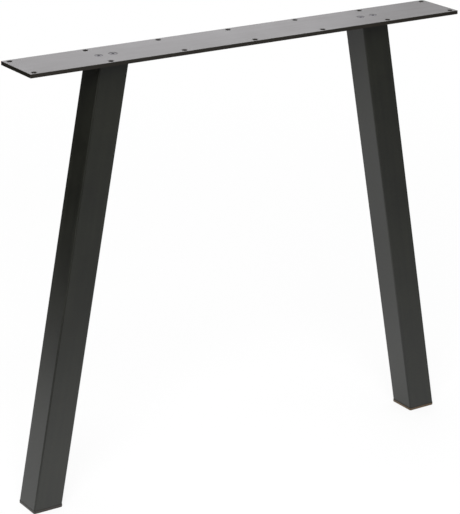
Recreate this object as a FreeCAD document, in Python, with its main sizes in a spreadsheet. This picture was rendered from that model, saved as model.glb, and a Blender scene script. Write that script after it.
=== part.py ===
import FreeCAD, Part
import math
import os
import Sketcher

# Trestle leg for a table: a flat top plate on two square tubes that splay outwards to the floor.
# Millimetres and degrees, +Z up, origin on the floor under the middle of the plate, +X along the plate.

SIZES = [
    ("overall_height", 721, "floor to the top face of the plate"),
    ("plate_length", 800, "top plate, along the table's width"),
    ("plate_width", 94, "top plate, front to back"),
    ("plate_thickness", 6, "top plate"),
    ("plate_corner_radius", 1, "top plate's four corners, seen from above"),
    ("plate_edge_radius", 0.4, "rounding of the plate's upper edge"),
    ("hole_diameter", 8, "screw holes for the table top"),
    ("hole_columns", 7, "screw holes in each row"),
    ("hole_end_inset", 10, "first and last screw hole to the plate's end"),
    ("hole_edge_inset", 8.5, "each row of screw holes to the plate's edge"),
    ("leg_inset", 155, "tube's centre line to the plate's end, at the plate's underside"),
    ("splay_angle", 10.5, "tube's centre line away from upright"),
    ("tube_size", 50, "square tube, outside"),
    ("tube_wall", 2, "square tube, wall"),
    ("tube_radius", 2.5, "square tube, outside corners"),
    ("bore_radius", 0.5, "square tube, inside corners"),
    ("head_thickness", 8, "plate that closes the tube's top mouth"),
    ("bolt_diameter", 6, "countersunk bolts that hold the tube to the plate"),
    ("bolt_length", 16, "countersunk bolts, with the head"),
    ("bolt_inset", 10.5, "each bolt to the wall of the tube's bore"),
    ("bolt_head_diameter", 12, "countersunk head"),
    ("bolt_rim", 0.3, "straight rim of the countersunk head"),
    ("bolt_sink", 0.3, "head's top below the plate's top"),
    ("bolt_tip", 0.8, "chamfer at the bolt's end"),
    ("socket_width", 4, "hexagon socket across its flats"),
    ("socket_depth", 2.2, "hexagon socket"),
    ("seat_clearance", 0.05, "countersunk head to its seat, along the bolt"),
    ("shank_clearance", 0.3, "bolt to the plate's hole, all round"),
    ("thread_clearance", 0.05, "bolt to the tapped hole, all round"),
    ("flange_height", 5, "foot cap's flange, between floor and tube"),
    ("flange_overhang", 0.5, "foot cap's flange past the tube, all round"),
    ("flange_bevel", 0.8, "bevel round the flange's lower edge"),
    ("flange_floor", 2.5, "foot cap's closed bottom"),
    ("insert_height", 26, "foot cap's hollow plug inside the tube"),
    ("insert_gap", 2.2, "plug's wall to the tube's wall"),
    ("insert_wall", 2, "plug's wall"),
    ("insert_lead", 0.8, "bevel round the plug's upper end"),
    ("rib_inset", 4, "lowest rib to the flange, and highest rib to the plug's end"),
    ("rib_thickness", 1.2, "plug's ribs"),
    ("rib_count", 4, "plug's ribs"),
    ("rib_clearance", 0.2, "ribs to the tube's wall"),
]

# Formulas that several pieces share.
LEAN = "tan(Sizes.splay_angle * 1 deg)"
SLANT = "cos(Sizes.splay_angle * 1 deg)"
UNDERSIDE = "(Sizes.overall_height - Sizes.plate_thickness)"
FOOT_X = f"(Sizes.plate_length / 2 - Sizes.leg_inset + {UNDERSIDE} * {LEAN})"
BORE = "(Sizes.tube_size - 2 * Sizes.tube_wall)"
PLUG = f"({BORE} - 2 * Sizes.insert_gap)"
RIB = f"({BORE} - 2 * Sizes.rib_clearance)"
# The bolts are centred on the bore at the head plate's lower face.
BOLT_LEVEL = f"({UNDERSIDE} - Sizes.head_thickness)"
BOLT_X = f"({FOOT_X} - {BOLT_LEVEL} * {LEAN})"
BOLT_STEP = f"({BORE} / 2 - Sizes.bolt_inset)"
FIRST_HOLE_X = "(Sizes.hole_end_inset - Sizes.plate_length / 2)"
HOLE_PITCH = f"(-2 * {FIRST_HOLE_X} / (Sizes.hole_columns - 1))"
HOLE_ROW_Y = "(Sizes.plate_width / 2 - Sizes.hole_edge_inset)"
RIB_RISE = "((Sizes.insert_height - 2 * Sizes.rib_inset - Sizes.rib_thickness) / (Sizes.rib_count - 1))"

LEFT = -1
RIGHT = 1
SIDES = {"left": LEFT, "right": RIGHT}

doc = FreeCAD.newDocument("trestle_leg")
sheet = doc.addObject("Spreadsheet::Sheet", "Sizes")


def fill_sheet():
    for line, (alias, value, note) in enumerate(SIZES, start=1):
        sheet.set(f"A{line}", alias)
        sheet.set(f"B{line}", str(value))
        sheet.set(f"C{line}", note)
        sheet.setAlias(f"B{line}", alias)
    doc.recompute()


def number(formula):
    return float(sheet.evalExpression(formula))


def new_body(label):
    body = doc.addObject("PartDesign::Body", label)
    body.Label = label
    return body


def new_sketch(body, name, plane):
    sketch = body.newObject("Sketcher::SketchObject", name)
    for feature in body.Origin.OriginFeatures:
        if feature.Role == plane:
            sketch.AttachmentSupport = [(feature, "")]
    sketch.MapMode = "FlatFace"
    return sketch


def flat_sketch(body, name, level, centre_x="0"):
    # a sketch seen from above, at a height over the body's origin
    sketch = new_sketch(body, name, "XY_Plane")
    sketch.setExpression("AttachmentOffset.Base.x", centre_x)
    sketch.setExpression("AttachmentOffset.Base.z", level)
    return sketch


def add_size(sketch, kind, *where, formula):
    # a driving dimension of the sketch, bound to the sheet
    index = sketch.addConstraint(Sketcher.Constraint(kind, *where, number(formula)))
    sketch.setExpression(f"Constraints[{index}]", formula)


def close_loop(sketch, points):
    # straight lines from point to point, joined end to end
    count = len(points)
    lines = []
    for start in range(count):
        segment = Part.LineSegment(points[start], points[(start + 1) % count])
        lines.append(sketch.addGeometry(segment, False))
    for start in range(count):
        joint = Sketcher.Constraint("Coincident", lines[start], 2, lines[(start + 1) % count], 1)
        sketch.addConstraint(joint)
    return lines


def leaning_outline(body, name, width, level, height):
    # the leg seen from the front: level ends, and sides that follow the tube's centre line
    sketch = new_sketch(body, name, "XZ_Plane")
    sketch.setExpression("AttachmentOffset.Base.x", f"-{level} * {LEAN}")
    sketch.setExpression("AttachmentOffset.Base.y", level)
    half = number(f"{width} / 2 / {SLANT}")
    top = number(height)
    drift = -number(f"{height} * {LEAN}")
    corners = [
        FreeCAD.Vector(-half, 0, 0),
        FreeCAD.Vector(half, 0, 0),
        FreeCAD.Vector(drift + half, top, 0),
        FreeCAD.Vector(drift - half, top, 0),
    ]
    bottom, right, upper, left = close_loop(sketch, corners)
    axis = Part.LineSegment(FreeCAD.Vector(0, 0, 0), FreeCAD.Vector(drift, top, 0))
    centre = sketch.addGeometry(axis, True)
    sketch.addConstraint(Sketcher.Constraint("Horizontal", bottom))
    sketch.addConstraint(Sketcher.Constraint("Horizontal", upper))
    sketch.addConstraint(Sketcher.Constraint("Parallel", right, centre))
    sketch.addConstraint(Sketcher.Constraint("Parallel", left, centre))
    sketch.addConstraint(Sketcher.Constraint("Symmetric", bottom, 1, bottom, 2, -1, 1))
    sketch.addConstraint(Sketcher.Constraint("Coincident", centre, 1, -1, 1))
    sketch.addConstraint(Sketcher.Constraint("PointOnObject", centre, 2, upper))
    lean_angle = math.radians(90 + number("Sizes.splay_angle"))
    tilt = sketch.addConstraint(Sketcher.Constraint("Angle", centre, lean_angle))
    sketch.setExpression(f"Constraints[{tilt}]", "90 deg + Sizes.splay_angle * 1 deg")
    add_size(sketch, "Distance", bottom, 2, centre, formula=f"{width} / 2")
    add_size(sketch, "DistanceY", -1, 1, upper, 1, formula=height)
    return sketch


def rounded_outline(sketch, length, width, radius):
    # a rectangle about the sketch's origin with four equal round corners
    half_x = number(length) / 2
    half_y = number(width) / 2
    corner = number(radius)
    in_x = half_x - corner
    in_y = half_y - corner
    runs = [
        ((-in_x, -half_y), (in_x, -half_y)),
        ((half_x, -in_y), (half_x, in_y)),
        ((in_x, half_y), (-in_x, half_y)),
        ((-half_x, in_y), (-half_x, -in_y)),
    ]
    centres = [(in_x, -in_y), (in_x, in_y), (-in_x, in_y), (-in_x, -in_y)]
    lines = []
    arcs = []
    for quarter, (run, centre) in enumerate(zip(runs, centres)):
        start, end = (FreeCAD.Vector(x, y, 0) for x, y in run)
        lines.append(sketch.addGeometry(Part.LineSegment(start, end), False))
        circle = Part.Circle(FreeCAD.Vector(*centre, 0), FreeCAD.Vector(0, 0, 1), corner)
        begin = (quarter - 1) * math.pi / 2
        arcs.append(sketch.addGeometry(Part.ArcOfCircle(circle, begin, begin + math.pi / 2), False))
    for quarter in range(4):
        following = lines[(quarter + 1) % 4]
        sketch.addConstraint(Sketcher.Constraint("Tangent", lines[quarter], 2, arcs[quarter], 1))
        sketch.addConstraint(Sketcher.Constraint("Tangent", arcs[quarter], 2, following, 1))
    for side in (0, 2):
        sketch.addConstraint(Sketcher.Constraint("Horizontal", lines[side]))
        sketch.addConstraint(Sketcher.Constraint("Vertical", lines[side + 1]))
    for arc in arcs[1:]:
        sketch.addConstraint(Sketcher.Constraint("Equal", arcs[0], arc))
    sketch.addConstraint(Sketcher.Constraint("Symmetric", arcs[0], 3, arcs[2], 3, -1, 1))
    add_size(sketch, "Radius", arcs[0], formula=radius)
    add_size(sketch, "DistanceX", lines[3], 1, lines[1], 1, formula=length)
    add_size(sketch, "DistanceY", lines[0], 1, lines[2], 1, formula=width)


def hole_circle(sketch, x, y, diameter):
    # a circle placed by formulas; a zero puts it on the sketch's axis
    centre = FreeCAD.Vector(number(x), number(y), 0)
    circle = Part.Circle(centre, FreeCAD.Vector(0, 0, 1), number(diameter) / 2)
    index = sketch.addGeometry(circle, False)
    for kind, formula, axis in (("DistanceX", x, -2), ("DistanceY", y, -1)):
        if formula == "0":
            sketch.addConstraint(Sketcher.Constraint("PointOnObject", index, 3, axis))
        else:
            add_size(sketch, kind, -1, 1, index, 3, formula=formula)
    add_size(sketch, "Diameter", index, formula=diameter)


def pad(body, name, sketch, length, symmetric=False):
    feature = body.newObject("PartDesign::Pad", name)
    feature.Profile = sketch
    if symmetric:
        feature.SideType = "Symmetric"
    feature.setExpression("Length", length)
    doc.recompute()
    return feature


def pocket(body, name, sketch, length, symmetric=False):
    before = body.Shape.Volume
    feature = body.newObject("PartDesign::Pocket", name)
    feature.Profile = sketch
    if symmetric:
        feature.SideType = "Symmetric"
    feature.setExpression("Length", length)
    doc.recompute()
    if not body.Shape.Volume < before:
        raise RuntimeError(f"{body.Label}: {name} cuts nothing")
    return feature


def pattern(body, name, feature, direction, pitch, count):
    row = body.newObject("PartDesign::LinearPattern", name)
    row.Originals = [feature]
    row.Direction = direction
    row.Mode = "Spacing"
    row.setExpression("Offset", pitch)
    row.setExpression("Occurrences", count)
    body.Tip = row
    doc.recompute()
    return row


def edge_names(feature, chosen):
    return [f"Edge{index}" for index, edge in enumerate(feature.Shape.Edges, start=1) if chosen(edge)]


def fillet(body, name, radius, chosen):
    # rounds the edges of the body's last feature that the test picks
    base = body.Tip
    feature = body.newObject("PartDesign::Fillet", name)
    feature.Base = (base, edge_names(base, chosen))
    feature.setExpression("Radius", radius)
    doc.recompute()
    return feature


def chamfer(body, name, size, chosen):
    # bevels the edges of the body's last feature that the test picks
    base = body.Tip
    feature = body.newObject("PartDesign::Chamfer", name)
    feature.Base = (base, edge_names(base, chosen))
    feature.setExpression("Size", size)
    doc.recompute()
    return feature


def is_long_edge(edge, inside):
    # an edge that runs up the tube: inside edges lie within the bore, the others on the outside
    first, last = (vertex.Point for vertex in edge.Vertexes)
    runs_up = abs(last.z - first.z) > 0.9 * edge.Length
    in_bore = abs(first.y) < number(f"{BORE} / 2") + 0.01
    return runs_up and in_bore == inside


def is_level(edge):
    first, last = edge.Vertexes[0].Point, edge.Vertexes[-1].Point
    return abs(last.z - first.z) < 0.01


def is_at(edge, level):
    # an edge that lies flat at a height over the body's origin
    return is_level(edge) and abs(edge.Vertexes[0].Point.z - level) < 0.01


def place_on_leg(body, side):
    # the leg's pieces are drawn about the point where the centre line meets the floor
    turn = 180 if side == LEFT else 0
    body.Placement = FreeCAD.Placement(FreeCAD.Vector(), FreeCAD.Rotation(FreeCAD.Vector(0, 0, 1), turn))
    body.setExpression("Placement.Base.x", f"{side} * {FOOT_X}")


def make_top_plate():
    body = new_body("top_plate")
    body.setExpression("Placement.Base.z", UNDERSIDE)
    outline = flat_sketch(body, "plate_outline", "0")
    rounded_outline(outline, "Sizes.plate_length", "Sizes.plate_width", "Sizes.plate_corner_radius")
    pad(body, "plate", outline, "Sizes.plate_thickness")
    top = number("Sizes.plate_thickness")
    fillet(body, "plate_edge", "Sizes.plate_edge_radius", lambda edge: is_at(edge, top))

    column = flat_sketch(body, "screw_hole_column", "Sizes.plate_thickness")
    for row in (-1, 1):
        hole_circle(column, FIRST_HOLE_X, f"{row} * {HOLE_ROW_Y}", "Sizes.hole_diameter")
    holes = pocket(body, "screw_holes", column, "Sizes.plate_thickness")
    pattern(body, "screw_hole_rows", holes, (column, ["H_Axis"]), HOLE_PITCH, "Sizes.hole_columns")

    centres = flat_sketch(body, "bolt_centres", "Sizes.plate_thickness")
    clear = "(Sizes.bolt_diameter + 2 * Sizes.shank_clearance)"
    for side in (LEFT, RIGHT):
        for step in (-1, 1):
            place = f"{side} * {BOLT_X} + {step} * {BOLT_STEP}"
            hole_circle(centres, place, "0", clear)
    doc.recompute()
    before = body.Shape.Volume
    seats = body.newObject("PartDesign::Hole", "bolt_seats")
    seats.Profile = centres
    doc.recompute()
    seats.Threaded = False
    seats.DepthType = "ThroughAll"
    seats.setExpression("Diameter", clear)
    seats.HoleCutType = "Countersink"
    seats.HoleCutCustomValues = True
    seats.HoleCutCountersinkAngle = 90
    # the seat is a 90 degree cone, so it is as much wider as it lies deeper
    rim = "Sizes.bolt_head_diameter + 2 * (Sizes.bolt_rim + Sizes.bolt_sink + Sizes.seat_clearance)"
    seats.setExpression("HoleCutDiameter", rim)
    doc.recompute()
    if not body.Shape.Volume < before:
        raise RuntimeError("the bolt seats cut nothing")
    return body


def make_leg_tube(label, side):
    body = new_body(label)
    height = f"({UNDERSIDE} - Sizes.flange_height)"
    outside = leaning_outline(body, "tube_outside", "Sizes.tube_size", "Sizes.flange_height", height)
    pad(body, "tube_block", outside, "Sizes.tube_size", symmetric=True)
    fillet(body, "outside_corners", "Sizes.tube_radius", lambda edge: is_long_edge(edge, inside=False))
    inside = leaning_outline(body, "tube_inside", BORE, "Sizes.flange_height", height)
    pocket(body, "tube_bore", inside, BORE, symmetric=True)
    fillet(body, "inside_corners", "Sizes.bore_radius", lambda edge: is_long_edge(edge, inside=True))
    place_on_leg(body, side)
    return body


def make_head_plate(label, side):
    # fills the tube's top mouth, bevelled to its slant and welded all round
    body = new_body(label)
    level = f"({UNDERSIDE} - Sizes.head_thickness)"
    outline = leaning_outline(body, "head_outline", BORE, level, "Sizes.head_thickness")
    pad(body, "head", outline, BORE, symmetric=True)
    fillet(body, "head_corners", "Sizes.bore_radius", lambda edge: is_long_edge(edge, inside=True))
    centres = flat_sketch(body, "tapped_centres", UNDERSIDE, f"-{BOLT_LEVEL} * {LEAN}")
    for step in (-1, 1):
        place = f"{step} * {BOLT_STEP}"
        hole_circle(centres, place, "0", "Sizes.bolt_diameter + 2 * Sizes.thread_clearance")
    pocket(body, "tapped_holes", centres, "Sizes.head_thickness")
    place_on_leg(body, side)
    return body


def make_bolt(label, side, step):
    # countersunk bolt with a hexagon socket; its thread is left plain
    body = new_body(label)
    profile = new_sketch(body, "bolt_profile", "XZ_Plane")
    head = number("Sizes.bolt_head_diameter / 2")
    shank = number("Sizes.bolt_diameter / 2")
    rim = number("Sizes.bolt_rim")
    length = number("Sizes.bolt_length")
    tip = number("Sizes.bolt_tip")
    outline = [
        (0, 0),
        (head, 0),
        (head, -rim),
        (shank, -rim - head + shank),
        (shank, -length + tip),
        (shank - tip, -length),
        (0, -length),
    ]
    lines = close_loop(profile, [FreeCAD.Vector(x, y, 0) for x, y in outline])
    top, edge, cone, side_line, chamfer, end, axis = lines
    for line in (top, end):
        profile.addConstraint(Sketcher.Constraint("Horizontal", line))
    for line in (edge, side_line, axis):
        profile.addConstraint(Sketcher.Constraint("Vertical", line))
    profile.addConstraint(Sketcher.Constraint("Coincident", top, 1, -1, 1))
    for slope in (cone, chamfer):
        quarter = Sketcher.Constraint("Angle", slope, math.radians(-135))
        profile.addConstraint(quarter)
    add_size(profile, "DistanceX", -1, 1, top, 2, formula="Sizes.bolt_head_diameter / 2")
    add_size(profile, "DistanceX", -1, 1, side_line, 1, formula="Sizes.bolt_diameter / 2")
    add_size(profile, "DistanceY", edge, 2, edge, 1, formula="Sizes.bolt_rim")
    add_size(profile, "DistanceY", end, 2, -1, 1, formula="Sizes.bolt_length")
    add_size(profile, "DistanceX", end, 1, side_line, 1, formula="Sizes.bolt_tip")
    turned = body.newObject("PartDesign::Revolution", "bolt_blank")
    turned.Profile = profile
    turned.ReferenceAxis = (profile, ["V_Axis"])
    turned.Angle = 360
    doc.recompute()
    hexagon = flat_sketch(body, "socket_outline", "0")
    draw_hexagon(hexagon, "Sizes.socket_width")
    pocket(body, "socket", hexagon, "Sizes.socket_depth")
    body.setExpression("Placement.Base.x", f"{side} * ({BOLT_X} + {step} * {BOLT_STEP})")
    body.setExpression("Placement.Base.z", "Sizes.overall_height - Sizes.bolt_sink")
    return body


def draw_hexagon(sketch, across):
    radius = number(f"{across} / sqrt(3)")
    points = []
    for corner in range(6):
        angle = corner * math.pi / 3
        points.append(FreeCAD.Vector(radius * math.cos(angle), radius * math.sin(angle), 0))
    lines = close_loop(sketch, points)
    circle = Part.Circle(FreeCAD.Vector(0, 0, 0), FreeCAD.Vector(0, 0, 1), radius)
    guide = sketch.addGeometry(circle, True)
    sketch.addConstraint(Sketcher.Constraint("Coincident", guide, 3, -1, 1))
    for line in lines:
        sketch.addConstraint(Sketcher.Constraint("PointOnObject", line, 1, guide))
    for line in lines[1:]:
        sketch.addConstraint(Sketcher.Constraint("Equal", lines[0], line))
    sketch.addConstraint(Sketcher.Constraint("PointOnObject", lines[0], 1, -1))
    add_size(sketch, "Diameter", guide, formula=f"2 * {across} / sqrt(3)")


def make_foot_cap(label, side):
    # a flange between floor and tube, and a hollow ribbed plug that leans with the tube
    body = new_body(label)
    flange = flat_sketch(body, "flange_outline", "0", f"-Sizes.flange_height * {LEAN}")
    across = f"(Sizes.tube_size / {SLANT} + 2 * Sizes.flange_overhang)"
    deep = "(Sizes.tube_size + 2 * Sizes.flange_overhang)"
    rounded_outline(flange, across, deep, "Sizes.tube_radius + Sizes.flange_overhang")
    pad(body, "flange", flange, "Sizes.flange_height")
    chamfer(body, "flange_foot", "Sizes.flange_bevel", lambda edge: is_at(edge, 0))

    plug_outline = leaning_outline(body, "plug_outline", PLUG, "Sizes.flange_height", "Sizes.insert_height")
    pad(body, "plug", plug_outline, PLUG, symmetric=True)
    plug_top = number("Sizes.flange_height + Sizes.insert_height")
    chamfer(body, "plug_lead", "Sizes.insert_lead", lambda edge: is_at(edge, plug_top))
    level = "(Sizes.flange_height + Sizes.rib_inset)"
    rib_outline = flat_sketch(body, "rib_outline", level, f"-({level} + Sizes.rib_thickness / 2) * {LEAN}")
    rounded_outline(rib_outline, f"{RIB} / {SLANT}", RIB, "Sizes.bore_radius")
    rib = pad(body, "rib", rib_outline, "Sizes.rib_thickness")
    pattern(body, "ribs", rib, (plug_outline, ["Axis0"]), f"{RIB_RISE} / {SLANT}", "Sizes.rib_count")

    hollow = f"({PLUG} - 2 * Sizes.insert_wall)"
    reach = "(Sizes.flange_height + Sizes.insert_height - Sizes.flange_floor)"
    inside = leaning_outline(body, "hollow_outline", hollow, "Sizes.flange_floor", reach)
    pocket(body, "hollow", inside, hollow, symmetric=True)
    place_on_leg(body, side)
    return body


def check_all(pieces):
    for item in doc.Objects:
        if "Invalid" in item.State or "Error" in item.State:
            raise RuntimeError(f"{item.Name} failed: {item.State}")
    for piece in pieces:
        if piece.Shape.isNull() or not piece.Shape.isValid():
            raise RuntimeError(f"{piece.Label} has no valid shape")
        if len(piece.Shape.Solids) != 1:
            raise RuntimeError(f"{piece.Label} is not one solid")


def write_pieces(pieces):
    os.makedirs("parts", exist_ok=True)
    for piece in pieces:
        piece.Shape.exportStep(f"parts/{piece.Label}.step")
        box = piece.Shape.BoundBox
        print(f"{piece.Label}: {box.XLength:.1f} x {box.YLength:.1f} x {box.ZLength:.1f} mm")


fill_sheet()
pieces = [make_top_plate()]
for word, side in SIDES.items():
    pieces.append(make_leg_tube(f"leg_tube_{word}", side))
    pieces.append(make_head_plate(f"head_plate_{word}", side))
    pieces.append(make_foot_cap(f"foot_cap_{word}", side))
    pieces.append(make_bolt(f"bolt_{word}_outer", side, 1))
    pieces.append(make_bolt(f"bolt_{word}_inner", side, -1))
doc.recompute()
check_all(pieces)
write_pieces(pieces)
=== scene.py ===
import math
import bmesh
import bpy
from mathutils import Matrix, Vector


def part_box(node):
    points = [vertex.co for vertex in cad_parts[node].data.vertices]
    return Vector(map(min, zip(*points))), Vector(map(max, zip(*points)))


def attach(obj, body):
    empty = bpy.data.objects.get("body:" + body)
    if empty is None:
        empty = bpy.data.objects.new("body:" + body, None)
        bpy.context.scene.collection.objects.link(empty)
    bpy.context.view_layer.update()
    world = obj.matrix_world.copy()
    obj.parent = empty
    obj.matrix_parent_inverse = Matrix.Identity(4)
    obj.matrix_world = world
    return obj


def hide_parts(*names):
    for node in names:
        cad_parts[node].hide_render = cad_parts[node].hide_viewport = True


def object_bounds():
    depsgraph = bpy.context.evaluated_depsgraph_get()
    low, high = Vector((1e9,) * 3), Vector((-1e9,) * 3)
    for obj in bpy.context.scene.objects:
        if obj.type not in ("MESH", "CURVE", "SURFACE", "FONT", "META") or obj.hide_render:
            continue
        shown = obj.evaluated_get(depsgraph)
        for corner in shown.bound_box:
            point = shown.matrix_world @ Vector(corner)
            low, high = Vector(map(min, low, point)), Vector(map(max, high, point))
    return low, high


# A trestle table leg in satin black powder coat, on a white studio floor. Metres, +Z up.

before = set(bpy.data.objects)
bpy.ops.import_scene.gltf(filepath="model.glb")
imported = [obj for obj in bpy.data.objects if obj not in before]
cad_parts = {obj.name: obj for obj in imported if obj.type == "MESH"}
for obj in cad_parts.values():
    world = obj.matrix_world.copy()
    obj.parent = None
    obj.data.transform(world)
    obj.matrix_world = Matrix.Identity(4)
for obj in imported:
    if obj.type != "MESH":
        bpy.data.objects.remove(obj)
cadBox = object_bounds()
mm = 0.001
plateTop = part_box("top_plate")[1].z
middle = (cadBox[0] + cadBox[1]) / 2


def linearColour(hexCode):
    # sRGB hex, as a colour picker shows it, to the linear numbers that shaders take
    channels = [int(hexCode[i:i + 2], 16) / 255 for i in (1, 3, 5)]
    return [c / 12.92 if c <= 0.04045 else ((c + 0.055) / 1.055) ** 2.4 for c in channels] + [1.0]


def addNode(tree, kind, settings=None, links=None):
    # Settings go to the node's sockets, by name or number, or else to the node itself. A Mix node's numbers
    # are sockets 2 and 3, its colours 6 and 7, and its colour comes out at 2.
    node = tree.nodes.new(kind)
    own = {key: value for key, value in (settings or {}).items()
           if isinstance(key, str) and hasattr(node, key)}
    for key, value in own.items():
        setattr(node, key, value)
    for key, value in (settings or {}).items():
        if key not in own:
            node.inputs[key].default_value = value
    for key, source in (links or {}).items():
        tree.links.new(source, node.inputs[key])
    return node


def newMaterial(name):
    material = bpy.data.materials.new(name)
    material.use_nodes = True
    material.node_tree.nodes.clear()
    return material, material.node_tree


# Satin polyester powder coat, sprayed and baked: near black, a soft broad sheen that turns grey at a low
# angle, and a fine waviness, the orange peel, where the powder flowed together.
plateCoat = {
    "colour": "#16140b",
    "paleColour": "#1e1b12",      # where the coat is a little thinner
    "sheenColour": "#fcf6ff",     # cast of the sheen, faintly violet
    "ior": 1.54,
    "roughness": 0.36,
    "roughnessSpread": 0.018,     # more and less, from place to place
    "peelMm": 7.0,                # real orange peel is about 2 mm crest to crest, drawn coarser to show
    "peelHeightMm": 0.03,
    "peelRoughness": 0.45,        # how much finer waves lie on the broad ones
    "grainMm": 1.4,               # real pigment grain is under 0.1 mm, drawn coarser to show
    "grainHeightMm": 0.004,
    "cloudMm": 60.0,              # slow change in the sheen, from the spray passes
    "streak": 0.5,                # share of faint lines along the rolled steel, under the coat
    "streakMm": 8.0,
    "streakStretch": 30.0,
    "leanDegrees": 90.0,          # from upright to the way the lines run
    "thinFrom": 0.35,             # clouds and lines go over from full to thin coat between these two
    "thinTo": 0.65,
}
tubeCoat = {
    **plateCoat,
    "colour": "#11120c",
    "paleColour": "#1a1b13",
    "sheenColour": "#fcfdfe",
    "roughnessSpread": 0.03,
    "leanDegrees": 10.5,
}


def powderCoat(name, look, side=1):
    # side is 1 where the part leans to the right on its way up, and -1 where it leans to the left
    material, tree = newMaterial(name)
    place = addNode(tree, "ShaderNodeTexCoord").outputs["Object"]
    peel = addNode(tree, "ShaderNodeTexNoise",
                   {"Scale": 1 / (look["peelMm"] * mm), "Detail": 2.0, "Roughness": look["peelRoughness"]},
                   {"Vector": place})
    grain = addNode(tree, "ShaderNodeTexNoise", {"Scale": 1 / (look["grainMm"] * mm), "Detail": 1.0},
                    {"Vector": place})
    cloud = addNode(tree, "ShaderNodeTexNoise", {"Scale": 1 / (look["cloudMm"] * mm), "Detail": 3.0},
                    {"Vector": place})
    lean = math.radians(look["leanDegrees"]) * side
    lengthwise = addNode(tree, "ShaderNodeMapping",
                         {"vector_type": "TEXTURE", "Rotation": (0, lean, 0),
                          "Scale": (1, 1, look["streakStretch"])},
                         {"Vector": place})
    streak = addNode(tree, "ShaderNodeTexNoise", {"Scale": 1 / (look["streakMm"] * mm), "Detail": 2.0},
                     {"Vector": lengthwise.outputs["Vector"]})
    mixed = addNode(tree, "ShaderNodeMix", {0: look["streak"]},
                    {2: cloud.outputs["Fac"], 3: streak.outputs["Fac"]})
    thin = addNode(tree, "ShaderNodeMapRange", {"From Min": look["thinFrom"], "From Max": look["thinTo"]},
                   {"Value": mixed.outputs[0]})
    sheen = addNode(tree, "ShaderNodeMapRange",
                    {"To Min": look["roughness"] - look["roughnessSpread"],
                     "To Max": look["roughness"] + look["roughnessSpread"]},
                    {"Value": thin.outputs["Result"]})
    tone = addNode(tree, "ShaderNodeMix",
                   {"data_type": "RGBA", 6: linearColour(look["colour"]),
                    7: linearColour(look["paleColour"])},
                   {0: thin.outputs["Result"]})
    waves = addNode(tree, "ShaderNodeBump", {"Distance": look["peelHeightMm"] * mm},
                    {"Height": peel.outputs["Fac"]})
    relief = addNode(tree, "ShaderNodeBump", {"Distance": look["grainHeightMm"] * mm},
                     {"Height": grain.outputs["Fac"], "Normal": waves.outputs["Normal"]})
    shader = addNode(tree, "ShaderNodeBsdfPrincipled",
                     {"IOR": look["ior"], "Specular Tint": linearColour(look["sheenColour"])},
                     {"Base Color": tone.outputs[2], "Roughness": sheen.outputs["Result"],
                      "Normal": relief.outputs["Normal"]})
    addNode(tree, "ShaderNodeOutputMaterial", None, {"Surface": shader.outputs["BSDF"]})
    return material


# Black oxide on a steel screw, dipped and oiled: a dull dark metal with a cloudy bloom.
boltFinish = {
    "colour": "#545257",
    "darkColour": "#38363b",
    "roughness": 0.42,
    "roughnessSpread": 0.06,
    "bloomMm": 1.5,
    "bloomHeightMm": 0.003,
}


def blackOxide(name, look):
    material, tree = newMaterial(name)
    place = addNode(tree, "ShaderNodeTexCoord").outputs["Object"]
    bloom = addNode(tree, "ShaderNodeTexNoise", {"Scale": 1 / (look["bloomMm"] * mm), "Detail": 4.0},
                    {"Vector": place})
    tone = addNode(tree, "ShaderNodeMix",
                   {"data_type": "RGBA", 6: linearColour(look["colour"]),
                    7: linearColour(look["darkColour"])},
                   {0: bloom.outputs["Fac"]})
    dull = addNode(tree, "ShaderNodeMapRange",
                   {"To Min": look["roughness"] - look["roughnessSpread"],
                    "To Max": look["roughness"] + look["roughnessSpread"]},
                   {"Value": bloom.outputs["Fac"]})
    relief = addNode(tree, "ShaderNodeBump", {"Distance": look["bloomHeightMm"] * mm},
                     {"Height": bloom.outputs["Fac"]})
    shader = addNode(tree, "ShaderNodeBsdfPrincipled", {"Metallic": 1.0},
                     {"Base Color": tone.outputs[2], "Roughness": dull.outputs["Result"],
                      "Normal": relief.outputs["Normal"]})
    addNode(tree, "ShaderNodeOutputMaterial", None, {"Surface": shader.outputs["BSDF"]})
    return material


# Polyethylene, injection moulded: black with a warm cast, waxy, with the fine bite of the mould's spark
# finish. Towards the floor its rim carries a painted reflection in dull brown.
capFinish = {
    "colour": "#211d1a",
    "paleColour": "#2b2622",
    # painted reflection in brown on the rim near the floor, strong on the right cap and faint on the left
    "reflectedBrown": "#604b2e",
    "reflectedBrownFromMm": 3.2,          # full below this height above the floor
    "reflectedBrownToMm": 5.0,            # and none above this one
    "brownReflection": {"left": 0.1, "right": 1.0},
    "reflectedBrownEvenly": 0.25,         # the rest is in patches
    "patchMm": 11.11,
    "ior": 1.51,
    "roughness": 0.5,
    "roughnessSpread": 0.05,
    "sparkMm": 0.8,
    "sparkHeightMm": 0.02,
}


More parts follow.
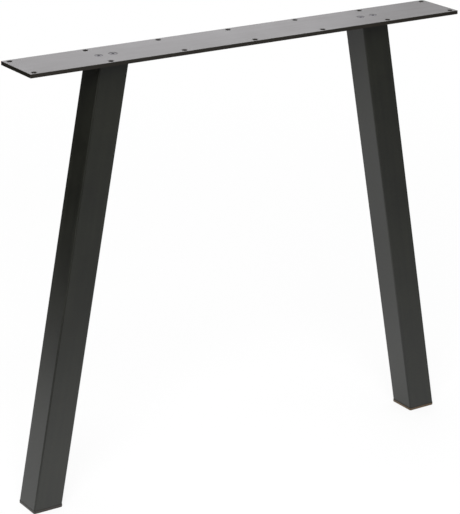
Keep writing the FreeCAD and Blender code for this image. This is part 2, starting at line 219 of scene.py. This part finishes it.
def mouldedPolyethylene(name, look, reflectedBrownStrength):
    # the last argument is the strength of the painted brown reflection on this cap
    material, tree = newMaterial(name)
    place = addNode(tree, "ShaderNodeTexCoord").outputs["Object"]
    spark = addNode(tree, "ShaderNodeTexNoise", {"Scale": 1 / (look["sparkMm"] * mm), "Detail": 3.0},
                    {"Vector": place})
    tone = addNode(tree, "ShaderNodeMix",
                   {"data_type": "RGBA", 6: linearColour(look["colour"]),
                    7: linearColour(look["paleColour"])},
                   {0: spark.outputs["Fac"]})
    height = addNode(tree, "ShaderNodeSeparateXYZ", None, {0: place}).outputs["Z"]
    # painted brown reflection, full near the floor and none above the rim
    brownReflection = addNode(tree, "ShaderNodeMapRange",
                     {"interpolation_type": "SMOOTHSTEP", "From Min": look["reflectedBrownFromMm"] * mm,
                      "From Max": look["reflectedBrownToMm"] * mm, "To Min": reflectedBrownStrength, "To Max": 0.0},
                     {"Value": height})
    patchy = addNode(tree, "ShaderNodeTexNoise", {"Scale": 1 / (look["patchMm"] * mm), "Detail": 3.0},
                     {"Vector": place})
    share = addNode(tree, "ShaderNodeMath", {"operation": "MULTIPLY_ADD", 2: look["reflectedBrownEvenly"]},
                    {0: patchy.outputs["Fac"], 1: brownReflection.outputs["Result"]})
    # how much of the painted brown reflection shows, partly in patches
    reflectedBrownMask = addNode(tree, "ShaderNodeMath", {"operation": "MULTIPLY", "use_clamp": True},
                   {0: brownReflection.outputs["Result"], 1: share.outputs[0]})
    brown = addNode(tree, "ShaderNodeMix", {"data_type": "RGBA", 7: linearColour(look["reflectedBrown"])},
                    {0: reflectedBrownMask.outputs[0], 6: tone.outputs[2]})
    dull = addNode(tree, "ShaderNodeMapRange",
                   {"To Min": look["roughness"] - look["roughnessSpread"],
                    "To Max": look["roughness"] + look["roughnessSpread"]},
                   {"Value": spark.outputs["Fac"]})
    relief = addNode(tree, "ShaderNodeBump", {"Distance": look["sparkHeightMm"] * mm},
                     {"Height": spark.outputs["Fac"]})
    shader = addNode(tree, "ShaderNodeBsdfPrincipled", {"IOR": look["ior"]},
                     {"Base Color": brown.outputs[2], "Roughness": dull.outputs["Result"],
                      "Normal": relief.outputs["Normal"]})
    addNode(tree, "ShaderNodeOutputMaterial", None, {"Surface": shader.outputs["BSDF"]})
    return material


def dress(node, material):
    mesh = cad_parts[node].data
    if not mesh.materials:
        mesh.materials.append(material)
    for slot in range(len(mesh.materials)):
        mesh.materials[slot] = material


plateBlack = powderCoat("satinPowderCoatOnPlate", plateCoat)
tubeBlack = {
    "left": powderCoat("satinPowderCoatOnLeftTube", tubeCoat, 1),
    "right": powderCoat("satinPowderCoatOnRightTube", tubeCoat, -1),
}
boltBlack = blackOxide("oiledBlackOxideSteel", boltFinish)
capBlack = {
    "left": mouldedPolyethylene("mouldedPolyethyleneOfLeftCap", capFinish, capFinish["brownReflection"]["left"]),
    "right": mouldedPolyethylene("mouldedPolyethyleneOfRightCap", capFinish, capFinish["brownReflection"]["right"]),
}
dress("top_plate", plateBlack)
for side in ("left", "right"):
    dress(f"leg_tube_{side}", tubeBlack[side])
    dress(f"head_plate_{side}", tubeBlack[side])
    dress(f"foot_cap_{side}", capBlack[side])
print("materials: powder coat, black oxide and polyethylene are on")


# The countersunk screws, M6 with a hexagon socket. Their threads are real helices. Millimetres, from the
# middle of the head's flat top; the head's width and the whole length come from the screw in model.glb.
screw = {
    "around": 48,                 # points round the screw, a multiple of the socket's six corners
    "rim": 0.3,                   # straight side of the head
    "edge": 0.2,                  # its rounded upper edge
    "edgeSteps": 4,
    "socketWidth": 4.0,           # across flats
    "socketDepth": 2.2,
    "socketBevel": 0.15,
    "drillPoint": 0.5,            # cone left by the drill under the broached hexagon
    "shank": 6.0,
    "neck": 0.35,                 # plain neck between head and thread
    "crest": 5.94,
    "root": 4.77,
    "pitch": 1.0,
    "crestShare": 0.125,          # of the pitch
    "flankDegrees": 30,
    "tip": 0.8,                   # bevel at the end
    "weld": 0.0005,               # points nearer than this become one
    "sharpDegrees": 32,           # edges above this stay sharp
}


def addRing(build, heightMm, radiusMm, around, centreMm=(0, 0)):
    # radiusMm is one number, or a function of the angle
    ring = []
    for step in range(around):
        angle = 2 * math.pi * step / around
        radius = radiusMm(angle) if callable(radiusMm) else radiusMm
        across = (centreMm[0] + radius * math.cos(angle)) * mm
        deep = (centreMm[1] + radius * math.sin(angle)) * mm
        ring.append(build.verts.new((across, deep, heightMm * mm)))
    return ring


def joinRings(build, upper, lower):
    for step in range(len(upper)):
        after = (step + 1) % len(upper)
        build.faces.new((upper[step], lower[step], lower[after], upper[after]))


def closeRing(build, ring, heightMm):
    centre = build.verts.new((0, 0, heightMm * mm))
    for step in range(len(ring)):
        build.faces.new((ring[step], ring[(step + 1) % len(ring)], centre))


def hexagon(acrossMm):
    # distance from the middle to the side of a hexagon, whose corners lie at every 60 degrees
    return lambda angle: acrossMm / 2 / math.cos(angle % (math.pi / 3) - math.pi / 6)


def addHead(build, look, headRadius):
    around = look["around"]
    across = look["socketWidth"]
    bevel = look["socketBevel"]
    edge = look["edge"]
    deep = -look["socketDepth"]
    rings = [
        addRing(build, deep, hexagon(across), around),
        addRing(build, -bevel, hexagon(across), around),
        addRing(build, 0, hexagon(across + 2 * bevel), around),
    ]
    for step in range(look["edgeSteps"] + 1):
        turn = math.pi / 2 / look["edgeSteps"] * step
        inward = edge * (1 - math.sin(turn))
        rings.append(addRing(build, edge * (math.cos(turn) - 1), headRadius - inward, around))
    shank = look["shank"] / 2
    coneEnd = -look["rim"] - (headRadius - shank)
    rings.append(addRing(build, -look["rim"], headRadius, around))
    rings.append(addRing(build, coneEnd, shank, around))
    for upper, lower in zip(rings, rings[1:]):
        joinRings(build, upper, lower)
    closeRing(build, rings[0], deep - look["drillPoint"])
    return rings[-1], coneEnd


def addThread(build, look, neckRing, start, end):
    # Rows of points that follow the helix, so the crest and the root stay sharp. A row is carried on, a
    # turn later, by the row one pitch below it, and what lies past either end is drawn together there.
    around = look["around"]
    pitch = look["pitch"]
    crest = look["crest"] / 2
    root = look["root"] / 2
    flank = (crest - root) * math.tan(math.radians(look["flankDegrees"])) / pitch
    crestEnd = look["crestShare"]
    profile = [(0, crest), (crestEnd, crest), (crestEnd + flank, root), (1 - flank, root)]
    perTurn = len(profile)
    run = start - end
    tipRadius = look["shank"] / 2 - look["tip"]
    rows = []
    for row in range(perTurn * (math.ceil(run / pitch) + 1) + 1):
        share, radius = profile[row % perTurn]
        points = []
        for step in range(around):
            drop = (row // perTurn + share + step / around - 1) * pitch
            drop = min(max(drop, 0), run)
            runOut = min(drop / pitch, 1)
            wide = min(crest - (crest - radius) * runOut, tipRadius + run - drop) * mm
            angle = 2 * math.pi * step / around
            spot = (wide * math.cos(angle), wide * math.sin(angle), (start - drop) * mm)
            points.append(build.verts.new(spot))
        rows.append(points)
    last = len(rows) - 1
    for row in range(last):
        for step in range(around):
            if step + 1 < around:
                upperNext, lowerNext = rows[row][step + 1], rows[row + 1][step + 1]
            else:
                upperNext = rows[min(row + perTurn, last)][0]
                lowerNext = rows[min(row + 1 + perTurn, last)][0]
            corners = [rows[row][step], rows[row + 1][step], lowerNext, upperNext]
            if len(set(corners)) == 4:
                build.faces.new(corners)
    joinRings(build, neckRing, rows[0])
    closeRing(build, list(reversed(rows[-1])), end)


def makeScrew(node, look):
    low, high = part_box(node)
    headRadius = (high.x - low.x) / 2 / mm
    build = bmesh.new()
    neckRing, coneEnd = addHead(build, look, headRadius)
    addThread(build, look, neckRing, coneEnd - look["neck"], -(high.z - low.z) / mm)
    bmesh.ops.remove_doubles(build, verts=build.verts, dist=look["weld"] * mm)
    bmesh.ops.recalc_face_normals(build, faces=build.faces)
    mesh = bpy.data.meshes.new(f"{node}_threaded")
    build.to_mesh(mesh)
    build.free()
    mesh.shade_smooth()
    mesh.set_sharp_from_angle(angle=math.radians(look["sharpDegrees"]))
    mesh.materials.append(boltBlack)
    piece = bpy.data.objects.new(f"{node}_threaded", mesh)
    bpy.context.scene.collection.objects.link(piece)
    piece.location = ((low.x + high.x) / 2, (low.y + high.y) / 2, high.z)
    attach(piece, "root")
    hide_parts(node)


for side in ("left", "right"):
    for place in ("outer", "inner"):
        makeScrew(f"bolt_{side}_{place}", screw)
print("screws: four, with threads and sockets")


# The plate's punched holes: the punch draws the steel down round each of them, so its rim is rolled in.
# Millimetres. The seats of the countersunk screws lie in pairs, seatStep to each side of a point seat from
# the plate's middle.
punched = {
    "columns": 7,
    "columnStep": 130.0,
    "row": 38.5,                  # from the plate's middle line to each row of holes
    "holeRadius": 4.0,
    "holeRoll": 2.6,              # how far out the rim is drawn down
    "holeDip": 0.5,               # and how deep, at the hole itself
    "seat": 246.48,
    "seatStep": 12.5,
    "seatRadius": 6.3,
    "seatRoll": 1.4,
    "seatDips": (0.1, 0.85, 0.4, 0.2),      # one for each seat, from the left: none was pressed alike
    "around": 48,
    "steps": 6,                   # along the roll
    "inside": 0.5,                # how far inside the hole the cutting shape starts, in widths of the roll
    "outside": 0.5,               # how far it reaches past the roll
    "lift": 2.0,                  # its top, above the plate
    "clear": 0.01,                # how far above the plate the roll runs out
    "weld": 0.002,                # points nearer than this become one
}


def addRoll(build, look, centre, radius, roll, dip):
    # A turned shape that stands on the rolled surface and takes off what lies above it. The surface is one
    # smooth step, twice as deep as dip and with its middle at the hole's edge.
    around = look["around"]
    steps = look["steps"]
    inside = look["inside"]
    rings = [addRing(build, look["lift"], radius - roll * inside, around, centre)]
    for step in range(steps + 1):
        out = step / steps * (1 + inside) - inside
        share = (out + 1) / 2
        fall = 1 - share * share * (3 - 2 * share)
        rings.append(addRing(build, look["clear"] - 2 * dip * fall, radius + roll * out, around, centre))
    rings.append(addRing(build, look["lift"], radius + roll + look["outside"], around, centre))
    for inner, outer in zip(rings, rings[1:]):
        joinRings(build, inner, outer)
    joinRings(build, rings[-1], rings[0])


def makeRollTool(look):
    build = bmesh.new()
    half = (look["columns"] - 1) / 2
    for column in range(look["columns"]):
        for row in (-1, 1):
            spot = ((column - half) * look["columnStep"], row * look["row"])
            addRoll(build, look, spot, look["holeRadius"], look["holeRoll"], look["holeDip"])
    seats = [side * look["seat"] + step * look["seatStep"] for side in (-1, 1) for step in (-1, 1)]
    for across, dip in zip(seats, look["seatDips"]):
        addRoll(build, look, (across, 0), look["seatRadius"], look["seatRoll"], dip)
    bmesh.ops.translate(build, verts=build.verts, vec=(0, 0, plateTop))
    bmesh.ops.recalc_face_normals(build, faces=build.faces)
    tool = bpy.data.objects.new("rollTool", bpy.data.meshes.new("rollTool"))
    build.to_mesh(tool.data)
    build.free()
    bpy.context.scene.collection.objects.link(tool)
    return tool


def makePlate(node, look):
    tool = makeRollTool(look)
    piece = bpy.data.objects.new(f"{node}_punched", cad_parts[node].data.copy())
    bpy.context.scene.collection.objects.link(piece)
    piece.matrix_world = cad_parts[node].matrix_world
    cut = piece.modifiers.new("roll", "BOOLEAN")
    cut.operation = "DIFFERENCE"
    cut.solver = "EXACT"
    cut.object = tool
    mesh = bpy.data.meshes.new_from_object(piece.evaluated_get(bpy.context.evaluated_depsgraph_get()))
    piece.modifiers.clear()
    bpy.data.objects.remove(tool)
    build = bmesh.new()
    build.from_mesh(mesh)
    bmesh.ops.remove_doubles(build, verts=build.verts, dist=look["weld"] * mm)
    bmesh.ops.dissolve_degenerate(build, dist=look["weld"] * mm, edges=build.edges)
    build.to_mesh(mesh)
    build.free()
    mesh.materials.clear()
    mesh.materials.append(plateBlack)
    piece.data = mesh
    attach(piece, "root")
    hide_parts(node)


makePlate("top_plate", punched)
print("plate: the rims of its holes and seats are rolled in")


# The studio: a white floor under everything, and a white room.
studio = {
    "floorRadius": 30.0,
    "floorSides": 96,
    "floorGapMm": 0.02,           # under the caps
    "floorColour": "#f2f2f2",
    "shadowShare": 0.15,          # how much of the floor's real shading the camera sees round the leg
    "shadowNear": 1.0,            # and from how far away it fades into plain white
    "shadowFar": 2.6,
    "roomLight": 0.5,             # light from all round, on the object
    "horizonGlow": 0.0,           # what a glossy face sees of the room at the floor's edge
    "upperGlow": 0.7,             # and higher up
    "glowFrom": -0.02,
    "glowTo": 0.3,
}
# Painted pools of light on the floor, which glow only for the coat's reflections: a place on the floor, how
# far the light reaches, and its strength.
floorPools = {
    "leftPool": {"place": (-0.7, 0.3), "reach": 1.6, "strength": 0.66},
    "leftFootPool": {"place": (-0.7, 0.4), "reach": 0.7, "strength": 0.3},
    "rightPool": {"place": (0.45, -0.1), "reach": 1.2, "strength": 0.67},
    "rightFootPool": {"place": (0.28, 0.16), "reach": 0.3, "strength": 0.13},
    "frontPool": {"place": (0.6, -1.4), "reach": 1.6, "strength": 0.55},
    "cornerPool": {"place": (1.3, -1.8), "reach": 1.1, "strength": 0.46},
    "backPool": {"place": (-0.2, 1.1), "reach": 1.2, "strength": 0.55},
    "footPool": {"place": (-0.3, -0.3), "reach": 0.8, "strength": 0.52},
    "endPool": {"place": (-1.5, 1.7), "reach": 1.0, "strength": 0.1},
    "windowPool": {"place": (-2.2, -0.8), "reach": 1.5, "strength": 2.0},
}


def addPools(tree, place, pools):
    # each pool fades out to its reach, and all of them are added up
    fades = []
    for pool in pools.values():
        away = addNode(tree, "ShaderNodeVectorMath", {"operation": "DISTANCE", 1: (*pool["place"], 0)},
                       {0: place})
        fade = addNode(tree, "ShaderNodeMapRange",
                       {"interpolation_type": "SMOOTHERSTEP", "From Max": pool["reach"],
                        "To Min": pool["strength"], "To Max": 0.0},
                       {"Value": away.outputs["Value"]})
        fades.append(fade.outputs["Result"])
    lit = fades[0]
    for fade in fades[1:]:
        lit = addNode(tree, "ShaderNodeMath", {"operation": "ADD"}, {0: lit, 1: fade}).outputs[0]
    return lit


def makeFloor(look):
    mesh = bpy.data.meshes.new("studioFloor")
    build = bmesh.new()
    bmesh.ops.create_circle(build, cap_ends=True, radius=look["floorRadius"], segments=look["floorSides"])
    build.to_mesh(mesh)
    build.free()
    floor = bpy.data.objects.new("studioFloor", mesh)
    bpy.context.scene.collection.objects.link(floor)
    floor.location = (0, 0, cadBox[0].z - look["floorGapMm"] * mm)
    material, tree = newMaterial("matteWhiteFloor")
    ray = addNode(tree, "ShaderNodeLightPath")
    place = addNode(tree, "ShaderNodeTexCoord").outputs["Object"]
    matte = addNode(tree, "ShaderNodeBsdfDiffuse", {"Color": linearColour(look["floorColour"])})
    white = addNode(tree, "ShaderNodeEmission", {"Strength": 1.0})
    fromMiddle = addNode(tree, "ShaderNodeVectorMath", {"operation": "LENGTH"}, {0: place})
    shaded = addNode(tree, "ShaderNodeMapRange",
                     {"interpolation_type": "SMOOTHSTEP", "From Min": look["shadowNear"],
                      "From Max": look["shadowFar"], "To Min": look["shadowShare"], "To Max": 0.0},
                     {"Value": fromMiddle.outputs["Value"]})
    seen = addNode(tree, "ShaderNodeMixShader", None,
                   {0: shaded.outputs["Result"], 1: white.outputs[0], 2: matte.outputs[0]})
    # painted pools of light, seen only in reflections
    lit = addPools(tree, place, floorPools)
    mirrored = addNode(tree, "ShaderNodeEmission", {"Color": (1, 1, 1, 1)}, {"Strength": lit})
    mirrorRays = addNode(tree, "ShaderNodeMath", {"operation": "ADD"},
                         {0: ray.outputs["Is Glossy Ray"], 1: ray.outputs["Is Transmission Ray"]})
    reflected = addNode(tree, "ShaderNodeMixShader", None,
                        {0: mirrorRays.outputs[0], 1: matte.outputs[0], 2: mirrored.outputs[0]})
    surface = addNode(tree, "ShaderNodeMixShader", None,
                      {0: ray.outputs["Is Camera Ray"], 1: reflected.outputs[0], 2: seen.outputs[0]})
    addNode(tree, "ShaderNodeOutputMaterial", None, {"Surface": surface.outputs[0]})
    mesh.materials.append(material)


def makeRoom(look):
    world = bpy.data.worlds.new("whiteRoom")
    bpy.context.scene.world = world
    world.use_nodes = True
    tree = world.node_tree
    tree.nodes.clear()
    ray = addNode(tree, "ShaderNodeLightPath")
    place = addNode(tree, "ShaderNodeTexCoord").outputs["Generated"]
    height = addNode(tree, "ShaderNodeSeparateXYZ", None, {0: place}).outputs["Z"]
    glow = addNode(tree, "ShaderNodeMapRange",
                   {"interpolation_type": "SMOOTHSTEP", "From Min": look["glowFrom"],
                    "From Max": look["glowTo"], "To Min": look["horizonGlow"], "To Max": look["upperGlow"]},
                   {"Value": height})
    ambient = addNode(tree, "ShaderNodeBackground", {"Color": (1, 1, 1, 1), "Strength": look["roomLight"]})
    mirrored = addNode(tree, "ShaderNodeBackground", {"Color": (1, 1, 1, 1)},
                       {"Strength": glow.outputs["Result"]})
    white = addNode(tree, "ShaderNodeBackground", {"Color": (1, 1, 1, 1), "Strength": 1.0})
    mirrorRays = addNode(tree, "ShaderNodeMath", {"operation": "ADD"},
                         {0: ray.outputs["Is Glossy Ray"], 1: ray.outputs["Is Transmission Ray"]})
    reflected = addNode(tree, "ShaderNodeMixShader", None,
                        {0: mirrorRays.outputs[0], 1: ambient.outputs[0], 2: mirrored.outputs[0]})
    surface = addNode(tree, "ShaderNodeMixShader", None,
                      {0: ray.outputs["Is Camera Ray"], 1: reflected.outputs[0], 2: white.outputs[0]})
    addNode(tree, "ShaderNodeOutputWorld", None, {"Surface": surface.outputs[0]})


# Softboxes: azimuth runs clockwise from +Y seen from above, elevation up from the floor, both in degrees.
# Distances and sizes are in metres. All of them face one point, a little above the leg's middle.
softboxes = {
    "overheadBox": {
        "azimuth": 0, "elevation": 80, "distance": 2.6, "width": 2.4, "height": 2.4, "watts": 25,
        "tint": "#ffffff",
    },
    "backBox": {
        "azimuth": 33.5, "elevation": 24, "distance": 3.6, "width": 3.4, "height": 1.6, "watts": 16.8,
        "tint": "#fdfcff",
    },
    "backLeftBox": {
        "azimuth": 27, "elevation": 18, "distance": 3.6, "width": 1.6, "height": 1.4, "watts": 5.1,
        "tint": "#fdfcff",
    },
    "frontBox": {
        "azimuth": 215, "elevation": 45, "distance": 3.0, "width": 1.6, "height": 1.6, "watts": 69,
        "tint": "#ffffff",
    },
}
litPoint = Vector((0, 0, plateTop * 0.6))


def makeSoftbox(name, look):
    lamp = bpy.data.lights.new(name, "AREA")
    lamp.shape = "RECTANGLE"
    lamp.size = look["width"]
    lamp.size_y = look["height"]
    lamp.energy = look["watts"]
    lamp.color = linearColour(look["tint"])[:3]
    box = bpy.data.objects.new(name, lamp)
    bpy.context.scene.collection.objects.link(box)
    turn = math.radians(look["azimuth"])
    rise = math.radians(look["elevation"])
    away = Vector((math.sin(turn) * math.cos(rise), math.cos(turn) * math.cos(rise), math.sin(rise)))
    box.location = litPoint + away * look["distance"]
    box.rotation_euler = away.to_track_quat("Z", "Y").to_euler()
    box.visible_camera = False


makeFloor(studio)
makeRoom(studio)
for name, look in softboxes.items():
    makeSoftbox(name, look)
print("studio: floor, room and", len(softboxes), "softboxes")


# The camera stands in front of the leg, to its left and a little above it. Degrees, metres, and
# millimetres for the lens and the sensor.
view = {
    "azimuth": -33.521,
    "elevation": 19.692,
    "roll": -0.477,
    "place": (-1.7598, -2.6293, 1.4808),
    "lens": 143.86,
    "sensor": 36.0,
    "clipEnd": 100.0,
}


def makeCamera(look):
    turn = math.radians(look["azimuth"])
    rise = math.radians(look["elevation"])
    roll = math.radians(look["roll"])
    forward = -Vector((math.sin(turn) * math.cos(rise), -math.cos(turn) * math.cos(rise), math.sin(rise)))
    right = forward.cross(Vector((0, 0, 1))).normalized()
    down = forward.cross(right)
    acrossPicture = math.cos(roll) * right + math.sin(roll) * down
    downPicture = -math.sin(roll) * right + math.cos(roll) * down
    data = bpy.data.cameras.new("photoCamera")
    data.lens = look["lens"]
    data.sensor_width = look["sensor"]
    data.clip_end = look["clipEnd"]
    camera = bpy.data.objects.new("photoCamera", data)
    bpy.context.scene.collection.objects.link(camera)
    axes = Matrix((acrossPicture, -downPicture, -forward)).transposed()
    camera.matrix_world = Matrix.Translation(look["place"]) @ axes.to_4x4()
    bpy.context.scene.camera = camera


makeCamera(view)
bpy.context.scene.view_settings.view_transform = "Standard"
print("camera: stands", round((Vector(view["place"]) - middle).length, 2), "m away")
